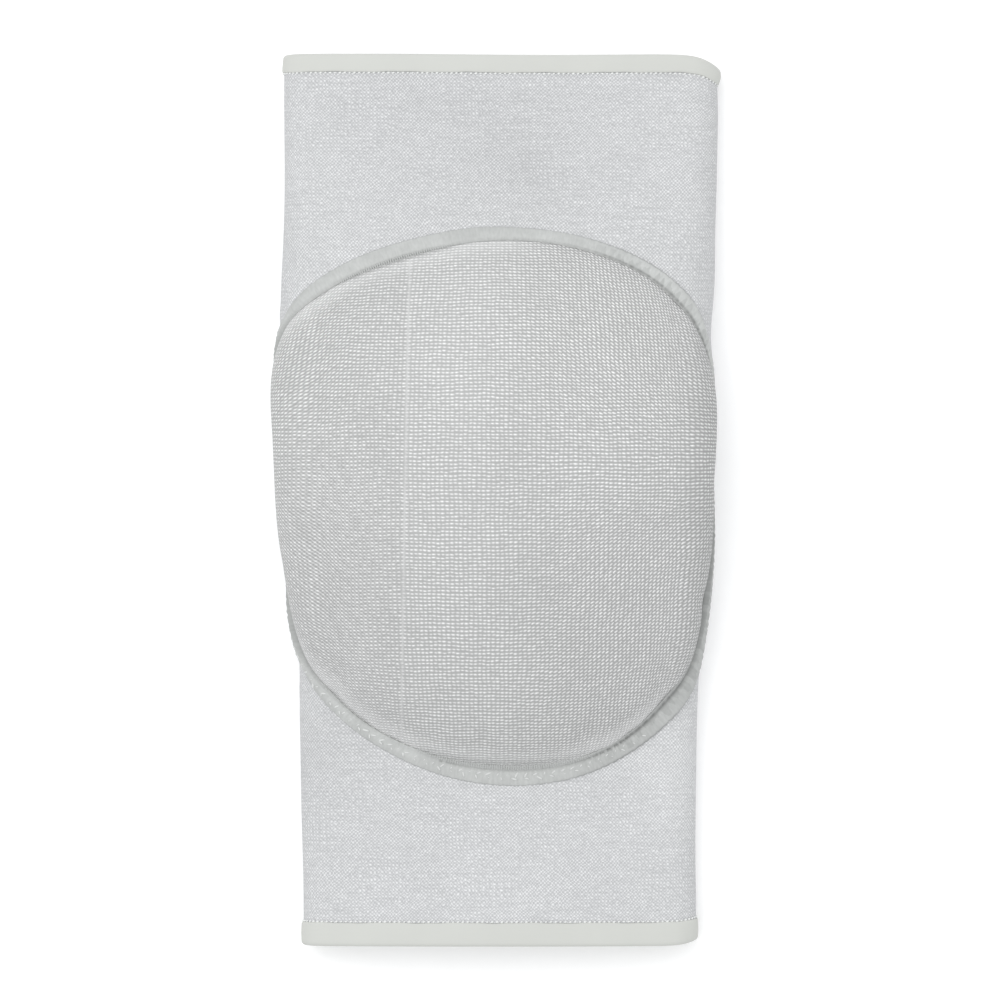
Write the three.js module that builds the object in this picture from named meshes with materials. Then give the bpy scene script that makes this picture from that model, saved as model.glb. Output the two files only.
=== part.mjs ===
// A slip-on knee pad for volleyball: a knitted tube with a folded elastic hem at each end, and a thick
// domed cushion sewn to its front under a knitted cover. It lies on its back with the cushion up.
// Millimetres. +X runs across the tube, +Y towards the thigh end, +Z up, away from what it lies on.
// The origin is the middle of the flat back.
import * as THREE from "three";

// Tube
const TUBE_LENGTH = 256; // end to end, over the folded hems
const THIGH_WIDTH = 124; // lying flat, at the thigh end
const CALF_WIDTH = 112.8; // lying flat, at the calf end
const END_HEIGHT = 19; // how far the springy knit stands open near its ends
const KNEE_HEIGHT = 38; // the same under the cushion, which keeps the tube arched
const TUBE_WALL = 1.8; // doubled elastic knit
const SIDE_ROUNDING = 0.42; // side radius, as a share of the tube's height there

// Hems: an elastic tape folded over each cut end of the tube
const TAPE_THICKNESS = 0.8;
const THIGH_HEM_WIDTH = 5.4;
const CALF_HEM_WIDTH = 7;
const THIGH_HEM_DIP = 3; // how far the right side fold sits back from the rest of the edge
const CALF_HEM_DIP = 1.2;
const DIP_SHARPNESS = 11; // a higher number keeps the setback closer to the fold
const DIP_REACH = 26; // length of tube over which that setback fades out
const HEM_SEAT = 8; // length of tube at each end that lies on its hem, clear of the surface below
const SEAT_RAMP = 12; // beyond that it comes down until its back is on the surface

// Cushion: widths are measured over the tube's curve
const PAD_LENGTH = 150.4;
const PAD_WIDTH = 134;
const PAD_THICKNESS = 20; // cover included, at the crown
const PAD_ALONG = -2.2; // the cushion's middle from the tube's middle
const PAD_ACROSS = 3.1;
const PAD_TILT = THREE.MathUtils.degToRad(11.2); // its thigh end leans to the left
const DOME_FLATNESS = 2.5; // a higher number keeps the crown level for longer
const DOME_SHOULDER = 0.65; // a lower number makes the rim steeper
const COVER_WALL = 1.5;
const FOAM_CLEARANCE = 0.5; // round the foam, under its cover

// Overlocked band that sews the cover down
const BAND_WIDTH = 4.5;
const BAND_HEIGHT = 1.9;

const CLEARANCE = 0.3; // between pieces that touch on the real thing

// Tube sections from the calf end (at 0) to the thigh end (at 1). Width runs from 0 at CALF_WIDTH to 1 at
// THIGH_WIDTH, and height from 0 at END_HEIGHT to 1 at KNEE_HEIGHT.
const SECTIONS = [
  { at: 0.0, width: 0.0, height: 0.0 },
  { at: 0.1, width: -0.03, height: 0.05 },
  { at: 0.2, width: 0.0, height: 0.22 },
  { at: 0.3, width: 0.1, height: 0.54 },
  { at: 0.4, width: 0.32, height: 0.83 },
  { at: 0.52, width: 0.57, height: 0.98 },
  { at: 0.64, width: 0.86, height: 1.0 },
  { at: 0.74, width: 0.98, height: 0.76 },
  { at: 0.83, width: 1.0, height: 0.34 },
  { at: 0.92, width: 1.0, height: 0.08 },
  { at: 1.0, width: 1.0, height: 0.0 },
];

// The cushion's outline from its calf end (at -1) to its thigh end (at 1): how far each side lies out from
// an ellipse of PAD_LENGTH by PAD_WIDTH, as a share.
const OUTLINE = [
  { at: -1.0, left: 1.01, right: 0.86 },
  { at: -0.5, left: 1.1, right: 0.89 },
  { at: 0.0, left: 1.05, right: 0.91 },
  { at: 0.5, left: 1.14, right: 1.06 },
  { at: 1.0, left: 1.65, right: 1.16 },
];

// Soft dents in the tube's front. Across is a share of the half width, along and long are shares of
// TUBE_LENGTH, wide is a share of the half width, and deep is a share of END_HEIGHT.
const DENTS = [
  { across: 0.02, along: 0.9, wide: 0.55, long: 0.05, deep: 0.09 },
  { across: -0.55, along: 0.875, wide: 0.4, long: 0.06, deep: 0.04 },
  { across: 0.72, along: 0.11, wide: 0.32, long: 0.08, deep: 0.07 },
  { across: -0.25, along: 0.1, wide: 0.5, long: 0.05, deep: 0.04 },
];

// Facets
const CROWN_STEPS = 14;
const SIDE_STEPS = 8;
const BACK_STEPS = 4;
const LENGTH_STEPS = 15;
const RAMP_STEPS = 3;
const DOME_OUTLINE_STEPS = 64;
const BAND_OUTLINE_STEPS = 120;
const DOME_STEPS = 10;
const RIM_CROWDING = 1.5; // a higher number draws the dome's rings closer to its rim
const FOLD_STEPS = 6;

const { lerp, smoothstep, clamp } = THREE.MathUtils;

// One column of a table at a place along it, on a smooth curve through its rows.
function tableValue(table, column, at) {
  const last = table.length - 1;
  const row = clamp(table.findLastIndex((entry) => entry.at <= at), 0, last - 1);
  const slope = (index) => {
    const before = table[Math.max(index - 1, 0)];
    const after = table[Math.min(index + 1, last)];
    return (after[column] - before[column]) / (after.at - before.at);
  };
  const [low, high] = [table[row], table[row + 1]];
  const span = high.at - low.at;
  const share = clamp((at - low.at) / span, 0, 1);
  const risen = share * share * (3 - 2 * share);
  const leaving = share * (1 - share) ** 2 * span * slope(row);
  const arriving = share ** 2 * (1 - share) * span * slope(row + 1);
  return lerp(low[column], high[column], risen) + leaving - arriving;
}

// The tube's section at y: a flat back, two round sides, and a crown arc tangent to both sides.
function tubeSection(y) {
  const at = y / TUBE_LENGTH + 0.5;
  const halfWidth = lerp(CALF_WIDTH, THIGH_WIDTH, tableValue(SECTIONS, "width", at)) / 2;
  const height = lerp(END_HEIGHT, KNEE_HEIGHT, tableValue(SECTIONS, "height", at));
  const side = SIDE_ROUNDING * height;
  const sideX = halfWidth - side;
  const rise = height - side;
  const crown = (sideX ** 2 + rise ** 2 - side ** 2) / (2 * (rise - side));
  const lean = Math.atan2(sideX, crown - rise);
  return { at, halfWidth, side, sideX, crown, crownZ: height - crown, lean };
}

// How deep the dents are at a place on the tube's front.
function dentDepth(across, at) {
  const depth = (dent) => {
    const reach = ((across - dent.across) / dent.wide) ** 2 + ((at - dent.along) / dent.long) ** 2;
    return dent.deep * END_HEIGHT * Math.exp(-reach);
  };
  return DENTS.reduce((total, dent) => total + depth(dent), 0);
}

// How far the tube is held off the surface below by the thickness of its hems.
function hemLift(y) {
  const level = TUBE_LENGTH / 2 - HEM_SEAT;
  return (TAPE_THICKNESS + CLEARANCE) * smoothstep(Math.abs(y), level - SEAT_RAMP, level);
}

// How far the edge at the right side fold is set back, fading out along the tube.
function hemSetback(across, y) {
  const right = clamp(across, 0, 1) ** DIP_SHARPNESS;
  const fade = smoothstep(Math.abs(y), TUBE_LENGTH / 2 - DIP_REACH, TUBE_LENGTH / 2);
  return y > 0 ? -THIGH_HEM_DIP * right * fade : CALF_HEM_DIP * right * fade;
}

// A point over the tube's outer face. Turn is the direction that the face looks in, 0 up and 180 degrees
// down, positive to the right. Back, from -1 to 1, is the place on the flat back where turn is 180 degrees.
function tubePoint(y, turn, offset, back = null) {
  const { at, halfWidth, side, sideX, crown, crownZ, lean } = tubeSection(y);
  const angle = Math.abs(turn);
  const isCrown = angle <= lean;
  const [radius, centreX, centreZ] = isCrown ? [crown, 0, crownZ] : [side, sideX, side];
  const across = (centreX + radius * Math.sin(angle)) * Math.sign(turn) / halfWidth;
  const front = Math.max(Math.cos(angle), 0);
  const lifted = radius + offset - front * dentDepth(across, at);
  const x = back === null ? (centreX + lifted * Math.sin(angle)) * Math.sign(turn) : back * sideX;
  const z = back === null ? centreZ + lifted * Math.cos(angle) : -offset;
  const share = back === null ? across : (back * sideX) / halfWidth;
  return new THREE.Vector3(x, y + hemSetback(share, y), z + hemLift(y));
}

// One ring of points round the tube at y, at an offset from its outer face.
function tubeRing(y, offset) {
  const { lean } = tubeSection(y);
  const ring = [];
  for (let i = 0; i < CROWN_STEPS; i++) ring.push([lerp(-lean, lean, i / CROWN_STEPS), null]);
  for (let i = 0; i < SIDE_STEPS; i++) ring.push([lerp(lean, Math.PI, i / SIDE_STEPS), null]);
  for (let i = 0; i < BACK_STEPS; i++) ring.push([Math.PI, lerp(1, -1, i / BACK_STEPS)]);
  for (let i = 0; i < SIDE_STEPS; i++) ring.push([-lerp(Math.PI, lean, i / SIDE_STEPS), null]);
  return ring.map(([turn, back]) => tubePoint(y, turn, offset, back));
}

// A point over the tube's front, a distance along its curve from the crown line.
function frontPoint(along, y, offset) {
  const { crown, lean, side } = tubeSection(y);
  const distance = Math.abs(along);
  const crownArc = crown * lean;
  const turn = distance <= crownArc ? distance / crown : lean + (distance - crownArc) / side;
  return tubePoint(y, Math.sign(along) * Math.min(turn, Math.PI), offset);
}

// A point of the cushion: theta goes round it, share runs from 0 at its middle to 1 at its rim, and grow
// moves the rim outwards.
function padPoint(theta, share, grow, offset) {
  const along = Math.sin(theta);
  const across = Math.cos(theta);
  const halfWidth = (PAD_WIDTH / 2) * tableValue(OUTLINE, across < 0 ? "left" : "right", along);
  const place = new THREE.Vector2(across * (halfWidth + grow), along * (PAD_LENGTH / 2 + grow));
  place.multiplyScalar(share).rotateAround(new THREE.Vector2(), PAD_TILT);
  return frontPoint(PAD_ACROSS + place.x, PAD_ALONG + place.y, offset);
}

// One ring of points round the cushion, or its middle point where share is 0.
function padRing(share, grow, offset, steps = DOME_OUTLINE_STEPS) {
  if (share === 0) return [padPoint(0, 0, grow, offset)];
  const ring = [];
  for (let i = 0; i < steps; i++) ring.push(padPoint((2 * Math.PI * i) / steps, share, grow, offset));
  return ring;
}

// The rings between the cushion's middle, at 0, and its rim, at 1, closer together towards the rim.
const ringShare = (i) => 1 - (1 - i / DOME_STEPS) ** RIM_CROWDING;
const RING_SHARES = Array.from({ length: DOME_STEPS + 1 }, (_, i) => ringShare(i));

// A dome's rings from its middle to its rim, where it stands at an offset from the tube's outer face.
function domeRings(thickness, grow, offset) {
  const height = (share) => thickness * (1 - share ** DOME_FLATNESS) ** DOME_SHOULDER;
  return RING_SHARES.map((share) => padRing(share, grow, offset + height(share)));
}

function signedVolume(points, index) {
  let volume = 0;
  for (let i = 0; i < index.length; i += 3) {
    const [a, b, c] = [points[index[i]], points[index[i + 1]], points[index[i + 2]]];
    volume += a.dot(new THREE.Vector3().crossVectors(b, c)) / 6;
  }
  return volume;
}

// Joins rows of points into one closed surface that faces out. The rows close on themselves as a ring, or
// start and end in a row of one point.
function closedSurface(rows, isRing) {
  const points = rows.flat();
  const starts = rows.map((row, j) => rows.slice(0, j).reduce((total, r) => total + r.length, 0));
  const corner = (j, i) => starts[j] + (i % rows[j].length);
  const index = [];
  for (let j = 0; j < rows.length - (isRing ? 0 : 1); j++) {
    const next = (j + 1) % rows.length;
    for (let i = 0; i < Math.max(rows[j].length, rows[next].length); i++) {
      const [a, b, c, d] = [corner(j, i), corner(j, i + 1), corner(next, i + 1), corner(next, i)];
      if (a !== b) index.push(a, b, c);
      if (c !== d) index.push(a, c, d);
    }
  }
  if (signedVolume(points, index) < 0) index.reverse();
  return new THREE.BufferGeometry().setFromPoints(points).setIndex(index);
}

// Distances along the tube, from one cut end to the other, closer together where it comes down.
function tubeStations() {
  const level = TUBE_LENGTH / 2 - HEM_SEAT;
  const low = level - SEAT_RAMP;
  const middle = Array.from({ length: LENGTH_STEPS + 1 }, (_, i) => lerp(-low, low, i / LENGTH_STEPS));
  const ramp = Array.from({ length: RAMP_STEPS }, (_, i) => lerp(low, level, (i + 1) / RAMP_STEPS));
  const rise = [...ramp, TUBE_LENGTH / 2 - TAPE_THICKNESS - CLEARANCE];
  return [...rise.map((y) => -y).reverse(), ...middle, ...rise];
}

// The knitted tube, between the folds of its two hems.
function tubeGeometry() {
  const outer = tubeStations().map((y) => tubeRing(y, 0));
  const inner = tubeStations().map((y) => tubeRing(y, -TUBE_WALL));
  return closedSurface([...outer, ...inner.reverse()], true);
}

// A tape folded over one end of the tube: end is 1 at the thigh and -1 at the calf. Its profile is a U with
// a round fold, given as offsets from the tube's outer face and distances from the tube's end.
function hemGeometry(end, width) {
  const outside = CLEARANCE + TAPE_THICKNESS;
  const inside = -TUBE_WALL - outside;
  const [middle, half] = [(outside + inside) / 2, (outside - inside) / 2];
  const profile = [[outside, width]];
  for (let i = 0; i <= FOLD_STEPS; i++) {
    const turn = (Math.PI * i) / FOLD_STEPS;
    profile.push([middle + half * Math.cos(turn), half * (1 - Math.sin(turn))]);
  }
  profile.push(
    [inside, width],
    [-TUBE_WALL - CLEARANCE, width],
    [-TUBE_WALL - CLEARANCE, TAPE_THICKNESS],
    [CLEARANCE, TAPE_THICKNESS],
    [CLEARANCE, width],
  );
  const rows = profile.map(([offset, depth]) => tubeRing(end * (TUBE_LENGTH / 2 - depth), offset));
  return closedSurface(rows, true);
}

// The cushion's foam: a dome on the tube's front, with a base that follows the tube.
function foamGeometry() {
  const grow = -COVER_WALL - FOAM_CLEARANCE;
  const top = domeRings(PAD_THICKNESS + grow, grow, FOAM_CLEARANCE);
  const base = RING_SHARES.map((share) => padRing(share, grow, FOAM_CLEARANCE));
  return closedSurface([...top, ...base.reverse().slice(1)], false);
}

// The knitted cover over the foam: a shell that is open where it meets the tube.
function coverGeometry() {
  const outer = domeRings(PAD_THICKNESS, 0, CLEARANCE);
  const inner = domeRings(PAD_THICKNESS - COVER_WALL, -COVER_WALL, CLEARANCE);
  return closedSurface([...inner, ...outer.reverse()], false);
}

// The overlocked band round the cover: a low ridge, steep beside the cover and rounded off outside.
function bandGeometry() {
  const profile = [
    { out: 0, up: 0 },
    { out: 0, up: 0.7 },
    { out: 0.25, up: 1 },
    { out: 0.7, up: 0.92 },
    { out: 1, up: 0.4 },
    { out: 1, up: 0 },
    { out: 0.5, up: 0 },
  ];
  const ridge = ({ out, up }) =>
    padRing(1, CLEARANCE + out * BAND_WIDTH, CLEARANCE + up * BAND_HEIGHT, BAND_OUTLINE_STEPS);
  return closedSurface(profile.map(ridge), true);
}

const tubeKnit = new THREE.MeshStandardMaterial({ color: 0xdadcdd, roughness: 0.9, metalness: 0 });
const coverKnit = new THREE.MeshStandardMaterial({ color: 0xd6d6d6, roughness: 0.88, metalness: 0 });
const hemTape = new THREE.MeshStandardMaterial({ color: 0xe0e1dc, roughness: 0.75, metalness: 0 });
const overlock = new THREE.MeshStandardMaterial({ color: 0xd4d6d4, roughness: 0.85, metalness: 0 });
const foam = new THREE.MeshStandardMaterial({ color: 0xe6e2d6, roughness: 0.95, metalness: 0 });

function piece(name, geometry, material) {
  const mesh = new THREE.Mesh(geometry, material);
  mesh.name = name;
  return mesh;
}

const kneePad = new THREE.Group();
kneePad.add(
  piece("sleeve", tubeGeometry(), tubeKnit),
  piece("thigh_hem", hemGeometry(1, THIGH_HEM_WIDTH), hemTape),
  piece("calf_hem", hemGeometry(-1, CALF_HEM_WIDTH), hemTape),
  piece("foam_pad", foamGeometry(), foam),
  piece("pad_cover", coverGeometry(), coverKnit),
  piece("pad_seam_band", bandGeometry(), overlock),
);

export default kneePad;
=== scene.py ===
# %% [markdown]
# # A volleyball knee pad
#
# The object is a knitted tube that is pulled over the knee, with a thick foam cushion sewn to its front.
# It lies on its back on a pale surface, and the camera looks straight down at the cushion. This script
# takes the plain solids of the part as its frame and dresses them: finer shapes for every piece, knit and
# tape for their surfaces, and the stitches that hold them together.
#
# ## The frame and the camera
#
# The frame comes first, because every piece is fitted to it. Then comes the camera. A long lens far away
# makes a picture with almost no perspective, which is how catalogue pictures of flat goods are taken.

# %% Load the frame
import bpy
import math
import numpy as np
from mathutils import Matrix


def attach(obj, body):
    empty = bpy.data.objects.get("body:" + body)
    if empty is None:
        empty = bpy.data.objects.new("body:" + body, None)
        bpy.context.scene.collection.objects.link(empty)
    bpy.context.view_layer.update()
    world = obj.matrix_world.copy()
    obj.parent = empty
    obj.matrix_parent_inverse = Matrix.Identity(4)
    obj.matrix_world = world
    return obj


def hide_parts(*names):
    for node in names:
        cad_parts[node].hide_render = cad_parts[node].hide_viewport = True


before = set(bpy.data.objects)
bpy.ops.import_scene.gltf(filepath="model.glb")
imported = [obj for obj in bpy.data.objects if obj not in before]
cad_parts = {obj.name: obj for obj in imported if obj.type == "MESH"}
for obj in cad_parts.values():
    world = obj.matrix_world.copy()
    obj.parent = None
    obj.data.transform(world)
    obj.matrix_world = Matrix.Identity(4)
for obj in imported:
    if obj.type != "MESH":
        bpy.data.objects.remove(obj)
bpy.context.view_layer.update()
MM = 0.001
scene = bpy.context.scene
print("nodes:", sorted(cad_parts))

# %% Camera
PICTURE_SPAN = 286.7 * MM
CAMERA_HEIGHT = 2.6
SUBJECT_HEIGHT = 0.015


def add_object(name, data):
    made = bpy.data.objects.new(name, data)
    scene.collection.objects.link(made)
    return made


camera = add_object("camera", bpy.data.cameras.new("camera"))
camera.location = (0, 0, CAMERA_HEIGHT)
camera.data.sensor_width = 36
camera.data.lens = 36 * (CAMERA_HEIGHT - SUBJECT_HEIGHT) / PICTURE_SPAN
camera.data.clip_end = 10
scene.camera = camera
print("lens, mm:", round(camera.data.lens))

# %% [markdown]
# ## Floor and light
#
# The knee pad is nearly white on white, so its form shows only through soft shading. A big lamp almost
# above it, a little to the upper left, leaves the crown of the cushion brightest and lets the far rims fall
# off. The sky fills the shadows. The Standard view keeps whites white.

# %% Floor, lamp and sky
FLOOR_HALF = 6.0
FLOOR_LEVEL = -0.2 * MM
FLOOR_GLOW = 0.12


def new_material(name, roughness, gloss=0.25):
    """A material, its tree and its shader."""
    material = bpy.data.materials.new(name)
    material.use_nodes = True
    shader = material.node_tree.nodes["Principled BSDF"]
    shader.inputs["Roughness"].default_value = roughness
    shader.inputs["Specular IOR Level"].default_value = gloss
    return material, material.node_tree, shader


floor_white, _, floor_shader = new_material("floor white", 0.9, gloss=0.5)
floor_shader.inputs["Base Color"].default_value = (0.97, 0.97, 0.97, 1)
floor_shader.inputs["Emission Color"].default_value = (1, 1, 1, 1)
floor_shader.inputs["Emission Strength"].default_value = FLOOR_GLOW
floor_mesh = bpy.data.meshes.new("floor")
floor_corners = [(x * FLOOR_HALF, y * FLOOR_HALF, FLOOR_LEVEL)
                 for x, y in ((-1, -1), (1, -1), (1, 1), (-1, 1))]
floor_mesh.from_pydata(floor_corners, [], [(0, 1, 2, 3)])
floor_mesh.materials.append(floor_white)
floor = add_object("floor", floor_mesh)

lamp_data = bpy.data.lights.new("softbox", "AREA")
lamp_data.shape = "SQUARE"
lamp_data.size = 1.8
lamp_data.energy = 21.5
lamp = add_object("softbox", lamp_data)
lamp.location = (-0.3, 0.34, 1.9)
lamp.rotation_mode = "QUATERNION"
lamp.rotation_quaternion = lamp.location.to_track_quat("Z", "Y")

sky = bpy.data.worlds.new("sky")
scene.world = sky
sky.use_nodes = True
sky.node_tree.nodes["Background"].inputs["Color"].default_value = (0.98, 0.99, 1.0, 1)
sky.node_tree.nodes["Background"].inputs["Strength"].default_value = 0.76
scene.view_settings.view_transform = "Standard"
print("lamp distance, m:", round(lamp.location.length, 2))

# %% [markdown]
# ## The tube as a rule
#
# On the real knee pad the tube is a length of elastic knit, flat underneath where it lies and arched over
# the front, most of all under the cushion. Everything else is sewn to it, so the whole model hangs on one
# rule: where is the point that lies this far round the tube, this far along it and this high above it?
# The same sizes and tables shape the solids, so the fine pieces lie over the plain ones. A table of dents
# presses the front in where it sags, and a table of swells pushes the sides out or in.

# %% Sizes of the tube, in millimetres
TUBE_LENGTH = 256.0
THIGH_WIDTH = 124.0
CALF_WIDTH = 112.8
END_HEIGHT = 19.0
KNEE_HEIGHT = 38.0
TUBE_WALL = 1.8
SIDE_ROUNDING = 0.42
TAPE_THICKNESS = 0.8
CLEARANCE = 0.3

TUBE_SECTIONS = {
    "at": [0.0, 0.1, 0.2, 0.3, 0.4, 0.52, 0.64, 0.74, 0.83, 0.92, 1.0],
    "width": [0.0, -0.03, 0.0, 0.1, 0.32, 0.57, 0.86, 0.98, 1.0, 1.0, 1.0],
    "height": [0.0, 0.05, 0.22, 0.54, 0.83, 0.98, 1.0, 0.76, 0.34, 0.08, 0.0],
}
TUBE_DENTS = [
    {"across": 0.02, "along": 0.9, "wide": 0.55, "long": 0.05, "deep": 0.09},
    {"across": -0.55, "along": 0.875, "wide": 0.4, "long": 0.06, "deep": 0.04},
    {"across": 0.72, "along": 0.11, "wide": 0.32, "long": 0.08, "deep": 0.07},
    {"across": -0.25, "along": 0.1, "wide": 0.5, "long": 0.05, "deep": 0.04},
]
TUBE_SWELLS = [
    {"side": -1, "along": 48.0, "long": 18.0, "high": 1.2},
    {"side": -1, "along": -74.0, "long": 30.0, "high": 0.9},
    {"side": 1, "along": 116.0, "long": 16.0, "high": 0.5},
    {"side": 1, "along": 49.0, "long": 9.0, "high": -0.8},
]
SIDE_START = 40.0
SIDE_FULL = 62.0
END_SAG = 0.45
THIGH_SETBACK = -3.9
CALF_SETBACK = 1.4
CORNER_SHARPNESS = 17


def table_curve(table, column, at):
    """A smooth curve through one column of a table."""
    places, values = np.array(table["at"]), np.array(table[column])
    last = len(places) - 1
    after, before = np.minimum(np.arange(last + 1) + 1, last), np.maximum(np.arange(last + 1) - 1, 0)
    slopes = (values[after] - values[before]) / (places[after] - places[before])
    row = np.clip(np.searchsorted(places, at, side="right") - 1, 0, last - 1)
    span = places[row + 1] - places[row]
    t = np.clip((at - places[row]) / span, 0, 1)
    risen = t * t * (3 - 2 * t)
    bend = t * (1 - t) ** 2 * slopes[row] - t**2 * (1 - t) * slopes[row + 1]
    return values[row] + (values[row + 1] - values[row]) * risen + bend * span


def smooth_step(value, low, high):
    """From nothing to one, softly, while the value goes from low to high."""
    t = np.clip((value - low) / (high - low), 0, 1)
    return t * t * (3 - 2 * t)


# %% The rule: a point over the tube
def tube_section(along):
    """Half width, side radius, crown radius and the angle where the crown meets the sides."""
    at = along / TUBE_LENGTH + 0.5
    half = (CALF_WIDTH + (THIGH_WIDTH - CALF_WIDTH) * table_curve(TUBE_SECTIONS, "width", at)) / 2
    height = END_HEIGHT + (KNEE_HEIGHT - END_HEIGHT) * table_curve(TUBE_SECTIONS, "height", at)
    side = SIDE_ROUNDING * height
    flat, rise = half - side, height - side
    crown = (flat**2 + rise**2 - side**2) / (2 * (rise - side))
    return half, height, side, flat, crown, np.arctan2(flat, crown - rise)


def girth(along):
    """Length from the crown line round one side to the middle of the back."""
    _, _, side, flat, crown, lean = tube_section(along)
    return crown * lean + side * (math.pi - lean) + flat


def over_tube(across, along, lift):
    """The point a distance across from the crown line, round the tube, and a lift off its outer face."""
    across, along, lift = np.broadcast_arrays(*(np.asarray(v, float) for v in (across, along, lift)))
    half, height, side, flat, crown, lean = tube_section(along)
    far, way = np.abs(across), np.sign(across)
    on_side, on_back = crown * lean, crown * lean + side * (math.pi - lean)
    turn = np.where(far <= on_side, far / crown, np.minimum(lean + (far - on_side) / side, math.pi))
    radius = np.where(far <= on_side, crown, side)
    share = way * (np.where(far <= on_side, 0, flat) + radius * np.sin(turn)) / half
    share = np.where(far > on_back, way * (flat - (far - on_back)) / half, share)
    at = along / TUBE_LENGTH + 0.5
    dent = sum(
        d["deep"] * END_HEIGHT
        * np.exp(-(((share - d["across"]) / d["wide"]) ** 2) - ((at - d["along"]) / d["long"]) ** 2)
        for d in TUBE_DENTS
    )
    swell = sum(
        s["high"] * smooth_step(s["side"] * across, SIDE_START, SIDE_FULL)
        * np.exp(-(((along - s["along"]) / s["long"]) ** 2))
        for s in TUBE_SWELLS
    )
    out = radius + lift - np.maximum(np.cos(turn), 0) * dent + np.sin(turn) ** 2 * swell
    x = way * (np.where(far <= on_side, 0, flat) + out * np.sin(turn))
    z = np.where(far <= on_side, height - crown, side) + out * np.cos(turn)
    x = np.where(far > on_back, way * (flat - (far - on_back)), x)
    z = np.where(far > on_back, -lift, z)
    end = TUBE_LENGTH / 2
    lifted = (TAPE_THICKNESS + CLEARANCE) * smooth_step(np.abs(along), end - 20, end - 8)
    corner = np.clip(share, 0, 1) ** CORNER_SHARPNESS * smooth_step(np.abs(along), end - 26, end)
    setback = corner * np.where(along > 0, THIGH_SETBACK, CALF_SETBACK)
    sag = END_SAG * np.exp(-(((share - 0.2) / 0.55) ** 2)) * smooth_step(along, end - 30, end)
    return np.stack([x, along + setback - sag, z + lifted], -1)


girths = [round(float(2 * girth(np.array(y)))) for y in (120.0, 20.0, -120.0)]
print("girth at thigh, knee and calf, mm:", girths)

# %% [markdown]
# ## Turning rows of points into a piece
#
# A tube, a ring and a dome are all made of rings of points, one after another. One helper joins rings with
# four-sided faces, and closes the ends with a pole where the form needs it. It also writes the knit map: a
# UV map in metres, so that a stitch has the same size on every piece, however the surface bends.

# %% Rings into a mesh
def join_rings(name, rings, knit_map=None, ring_of_rings=False, poles=None):
    """rings is rows x columns x 3 in millimetres. knit_map has one more column, for the closing seam."""
    rows, columns = rings.shape[:2]
    here = np.arange(columns)
    there = (here + 1) % columns
    pairs = [(j, (j + 1) % rows) for j in range(rows if ring_of_rings else rows - 1)]
    quads = [np.stack([a * columns + here, a * columns + there, b * columns + there, b * columns + here], 1)
             for a, b in pairs]
    faces = np.concatenate(quads)
    points = rings.reshape(-1, 3)
    caps = []
    if poles is not None:
        points = np.concatenate([points, poles])
        first, last = rows * columns, rows * columns + 1
        caps = [(first, int(b), int(a)) for a, b in zip(here, there)]
        start = (rows - 1) * columns
        caps += [(last, int(start + a), int(start + b)) for a, b in zip(here, there)]
    mesh = bpy.data.meshes.new(name)
    mesh.from_pydata((points * MM).tolist(), [], faces.tolist() + caps)
    if knit_map is not None:
        layer = mesh.uv_layers.new(name="knit")
        spots = [np.stack([knit_map[a, here], knit_map[a, here + 1],
                           knit_map[b, here + 1], knit_map[b, here]], 1) for a, b in pairs]
        flat_map = np.concatenate(spots).reshape(-1, 2)
        if poles is not None:
            for row, cap in ((0, (0, 2, 1)), (rows - 1, (0, 1, 2))):
                middle = np.broadcast_to(knit_map[row].mean(0), (columns, 2))
                fan = [middle, knit_map[row, here], knit_map[row, here + 1]]
                flat_map = np.concatenate([flat_map, np.stack([fan[i] for i in cap], 1).reshape(-1, 2)])
        layer.data.foreach_set("uv", (flat_map * MM).astype(np.float32).ravel())
    return add_object(name, mesh)


def vertex_places(mesh):
    places = np.empty(len(mesh.vertices) * 3)
    mesh.vertices.foreach_get("co", places)
    return places.reshape(-1, 3)


def faces_outwards(made):
    """Turns every face out, by the sign of the volume, and smooths the shading."""
    mesh = made.data
    mesh.calc_loop_triangles()
    corners = np.empty(len(mesh.loop_triangles) * 3, np.int32)
    mesh.loop_triangles.foreach_get("vertices", corners)
    a, b, c = vertex_places(mesh)[corners.reshape(-1, 3)].transpose(1, 0, 2)
    volume = np.einsum("ij,ij->i", a, np.cross(b, c)).sum() / 6
    if volume < 0:
        mesh.flip_normals()
    mesh.shade_smooth()
    print(f"{made.name}: {len(mesh.loop_triangles)} triangles, {abs(volume) * 1e6:.1f} cm3")
    return made


# %% [markdown]
# ## The cushion's outline
#
# The cushion is an egg, broad towards the thigh and narrow towards the shin, sewn on a little askew. Its
# outline is an ellipse that a short table pushes out or in on each side. A place on the cushion is given by
# the way round it and by a share of the way from its middle to its rim.
#
# A second table goes once round the rim, in degrees from the right. For each way round it tells how far the
# rim is pushed out, how wide and how high the seam band is there, and how steep the cushion's wall stands.

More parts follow.
